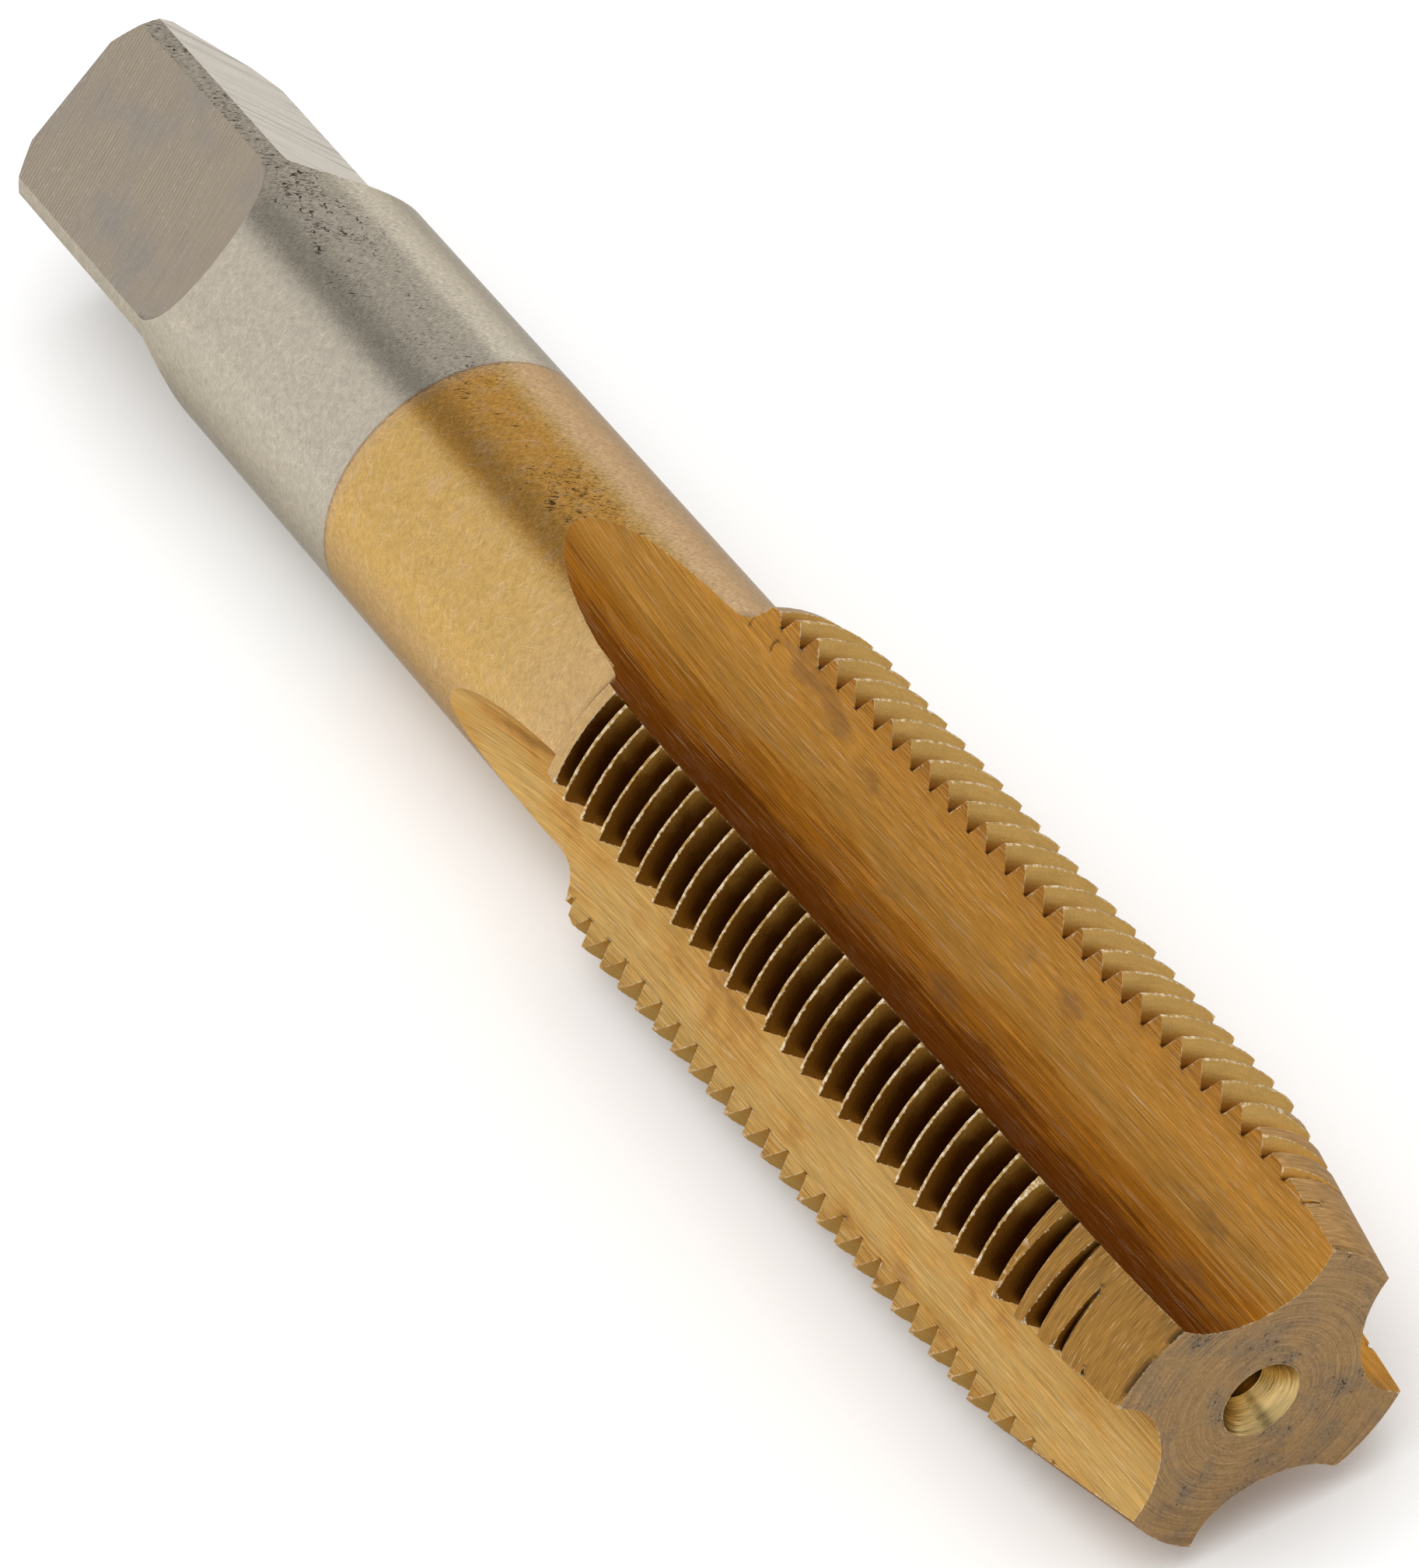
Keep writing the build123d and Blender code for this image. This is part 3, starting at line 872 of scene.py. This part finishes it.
# how far a facet has to agree with the exact surface, or it keeps its own lean
agreement = {"shank": 0.9, "crest": 0.9, "flute": 0.85, "lead": 0.97, "square": 0.6,
             "noseFlank": 0.95, "backFlank": 0.95}


def trueNormal(kind, spot, faceNormal):
    # the exact roundness of each ground surface, so that no facet shows in the gloss
    up = spot.z - axisHeight
    radius = math.hypot(spot.y, up)
    outward = Vector((0, spot.y / radius, up / radius))
    exact = None
    if kind == "crest" or kind == "shank" and abs(faceNormal.x) < sorting["flatLean"]:
        exact = outward
    elif kind == "flute":
        exact = fluteNormal(spot)
    elif kind == "lead":
        exact = leadNormal(spot)
    elif kind == "square" and spot.x > square["breakEnd"]:
        exact = squareNormal(spot)
    elif kind in ("noseFlank", "backFlank"):
        exact = flankNormal(kind, outward, radius)
    if exact is None:
        return None
    exact.normalize()
    return exact if exact.dot(faceNormal) > agreement[kind] else None


def needsCut(edge, touch):
    length = edge.calc_length()
    if not edge.smooth:
        return length > tapBody["nearEdge"]
    if any(vert[touch] > tapBody["beside"] for vert in edge.verts):
        return length > 2 * tapBody["nearEdge"]
    onFlank = any(surfaces[face.material_index].endswith("Flank") for face in edge.link_faces)
    return onFlank and length > tapBody["onThread"]


def refine(shape, touch):
    # small facets along every crisp edge and over the thread, where wear and chips need them
    for attempt in range(tapBody["cutRounds"]):
        long = [edge for edge in shape.edges if needsCut(edge, touch)]
        if not long:
            break
        bmesh.ops.subdivide_edges(shape, edges=long, cuts=1)
    bmesh.ops.triangulate(shape, faces=[face for face in shape.faces if len(face.verts) > 4])


def chipAndTrue(shape, outerEdge):
    # nicks along the thread's edges, and the shank brought to its full radius between the facets
    (deep, fine, sideways), shift = tapBody["nickScales"], Vector(tapBody["nickShift"])
    for vert in shape.verts:
        kinds = {surfaces[face.material_index] for face in vert.link_faces}
        up = vert.co.z - axisHeight
        radius = math.hypot(vert.co.y, up)
        isRound = all(abs(face.normal.x) < sorting["flatLean"] for face in vert.link_faces
                      if surfaces[face.material_index] == "shank")
        if "shank" in kinds and isRound and radius > tapBody["shankRadius"] - tapBody["facetDip"]:
            grow = tapBody["shankRadius"] / radius
            vert.co.y *= grow
            vert.co.z = axisHeight + up * grow
        if vert[outerEdge] and "crest" in kinds:
            nick = noise.noise(vert.co * deep) + 0.5 * noise.noise(vert.co * fine)
            back = max(0.0, nick) * tapBody["chipDepth"] / radius
            vert.co.y -= vert.co.y * back
            vert.co.z -= up * back
            vert.co.x += noise.noise(vert.co * sideways + shift) * tapBody["chipDepth"] * 0.6


def sortFacets(shape, touch):
    # every facet gets its surface, and steep edges stay crisp
    for face in shape.faces:
        face.material_index = surfaces.index(surfaceOf(face))
        face.smooth = True
    for edge in shape.edges:
        edge.smooth = edge.calc_face_angle(0.0) < tapBody["sharpAngle"]
        if not edge.smooth:
            for vert in edge.verts:
                vert[touch] = 1.0


def carryNormals(shape):
    # smooth normals of the plain facets, carried along as the facets are cut up
    plain = bpy.data.meshes.new("plainTap")
    shape.to_mesh(plain)
    carried = shape.loops.layers.float_vector.new("carried")
    shape.faces.ensure_lookup_table()
    for index, face in enumerate(shape.faces):
        for corner, loop in zip(plain.polygons[index].loop_indices, face.loops):
            loop[carried] = plain.corner_normals[corner].vector
    bpy.data.meshes.remove(plain)


def markCrispEdges(shape):
    # crisp outer edges get wear and a painted highlight, inner ones are darkened
    outerEdge = shape.verts.layers.float.new("edgeWearAndHighlight")
    innerEdge = shape.verts.layers.float.new("innerEdgeDark")
    for edge in shape.edges:
        if not edge.smooth:
            for vert in edge.verts:
                vert[outerEdge if edge.is_convex else innerEdge] = 1.0
    return outerEdge


def makeTapBody(cadNode):
    shape = bmesh.new()
    shape.from_mesh(cadNode.data)
    bmesh.ops.remove_doubles(shape, verts=shape.verts, dist=tapBody["weld"])
    bmesh.ops.dissolve_degenerate(shape, dist=tapBody["sliver"], edges=shape.edges)
    touch = shape.verts.layers.float.new("touch")
    sortFacets(shape, touch)
    carryNormals(shape)
    refine(shape, touch)
    print("tap body refined")
    shape.normal_update()
    chipAndTrue(shape, markCrispEdges(shape))
    roundRims(shape)
    shape.normal_update()
    mesh = bpy.data.meshes.new("tapBodyShape")
    shape.to_mesh(mesh)
    shape.free()
    setNormals(mesh)
    # in the order of the surfaces
    for material in (shankFinish(), fluteFinish(), flankFinish("noseFlankGround"),
                     flankFinish("backFlankGround"), crestFinish(), leadFinish(), noseFinish(),
                     holeFinish(), squareFinish(), flankFinish("rootGround")):
        mesh.materials.append(material)
    made = bpy.data.objects.new("tapBody", mesh)
    bpy.context.scene.collection.objects.link(made)
    return made


def setNormals(mesh):
    # the exact normal where there is one, else the carried one unless it strays from the facet
    kept = mesh.attributes["carried"].data
    normals = []
    for face in mesh.polygons:
        kind = surfaces[face.material_index]
        for loop in face.loop_indices:
            exact = trueNormal(kind, mesh.vertices[mesh.loops[loop].vertex_index].co, face.normal)
            rough = Vector(kept[loop].vector).normalized()
            strays = rough.dot(face.normal) <= tapBody["strayed"]
            normals.append(exact or (face.normal if strays else rough))
    mesh.normals_split_custom_set(normals)
    mesh.attributes.remove(mesh.attributes["carried"])


tap = makeTapBody(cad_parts["tap_body"])
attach(tap, "root")
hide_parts("tap_body")
print("tap body", len(tap.data.polygons), "faces")

studio = {
    "floorHalf": 1.5,
    "floorColour": (0.95, 0.95, 0.945, 1),
    "floorRoughness": 0.9,
    "fill": {"place": (0.1, -0.1, 0.9), "size": 0.9, "energy": 5.0},
    # the tent's brightness by angle about the tap, as (from, to, change), with a dim gap overhead
    "tent": [(-18, -4, -0.70), (10, 24, 0.40), (62, 84, 0.62)],
}


def makeFloor():
    shape = bmesh.new()
    bmesh.ops.create_grid(shape, x_segments=1, y_segments=1, size=studio["floorHalf"])
    bmesh.ops.translate(shape, verts=shape.verts, vec=(0, 0, cadBox[0][2]))
    mesh = bpy.data.meshes.new("floorShape")
    shape.to_mesh(mesh)
    shape.free()
    made = bpy.data.objects.new("floor", mesh)
    bpy.context.scene.collection.objects.link(made)
    material = bpy.data.materials.new("paleFloor")
    material.use_nodes = True
    shader = material.node_tree.nodes["Principled BSDF"]
    shader.inputs["Base Color"].default_value = studio["floorColour"]
    shader.inputs["Roughness"].default_value = studio["floorRoughness"]
    mesh.materials.append(material)
    return made


floor = makeFloor()


def makeWorld():
    world = bpy.data.worlds.new("studioTent")
    bpy.context.scene.world = world
    world.use_nodes = True
    tree = world.node_tree
    look = addNode(tree, "ShaderNodeTexCoord").outputs["Generated"]
    parts = addNode(tree, "ShaderNodeSeparateXYZ", {"Vector": look})
    turn = doMath(tree, "ARCTAN2", parts.outputs["Y"], parts.outputs["Z"])
    steps = [between(tree, turn, math.radians(low), math.radians(high), 0.0, change)
             for low, high, change in studio["tent"]]
    level = total(tree, 1.0, *steps)
    white = addNode(tree, "ShaderNodeCombineColor", {0: level, 1: level, 2: level}).outputs[0]
    tree.links.new(white, tree.nodes["Background"].inputs["Color"])


def makeFill(values):
    data = bpy.data.lights.new("overheadFill", "AREA")
    data.shape = "DISK"
    data.size = values["size"]
    data.energy = values["energy"]
    made = bpy.data.objects.new("overheadFill", data)
    made.location = values["place"]
    made.rotation_euler = (-Vector(values["place"])).to_track_quat("-Z", "Y").to_euler()
    made.visible_glossy = False  # lights the floor, and leaves no spot in the metal
    bpy.context.scene.collection.objects.link(made)


makeWorld()
makeFill(studio["fill"])

camera = {
    "place": (0.262088, -0.129909, 0.292311),
    "right": (0.510320, 0.857024, -0.071299),
    "up": (-0.579138, 0.403770, 0.708216),
    "lens": 214.965,
    "sensor": 36,
    "clip": (0.01, 20),
}


def makeCamera():
    data = bpy.data.cameras.new("mainCamera")
    data.sensor_width = camera["sensor"]
    data.lens = camera["lens"]
    data.clip_start, data.clip_end = camera["clip"]
    made = bpy.data.objects.new("mainCamera", data)
    bpy.context.scene.collection.objects.link(made)
    right, up = Vector(camera["right"]), Vector(camera["up"])
    turn = Matrix((right, up, right.cross(up))).transposed().to_4x4()
    made.matrix_world = Matrix.Translation(camera["place"]) @ turn
    bpy.context.scene.camera = made


makeCamera()
bpy.context.scene.view_settings.view_transform = "Standard"
print("studio ready")
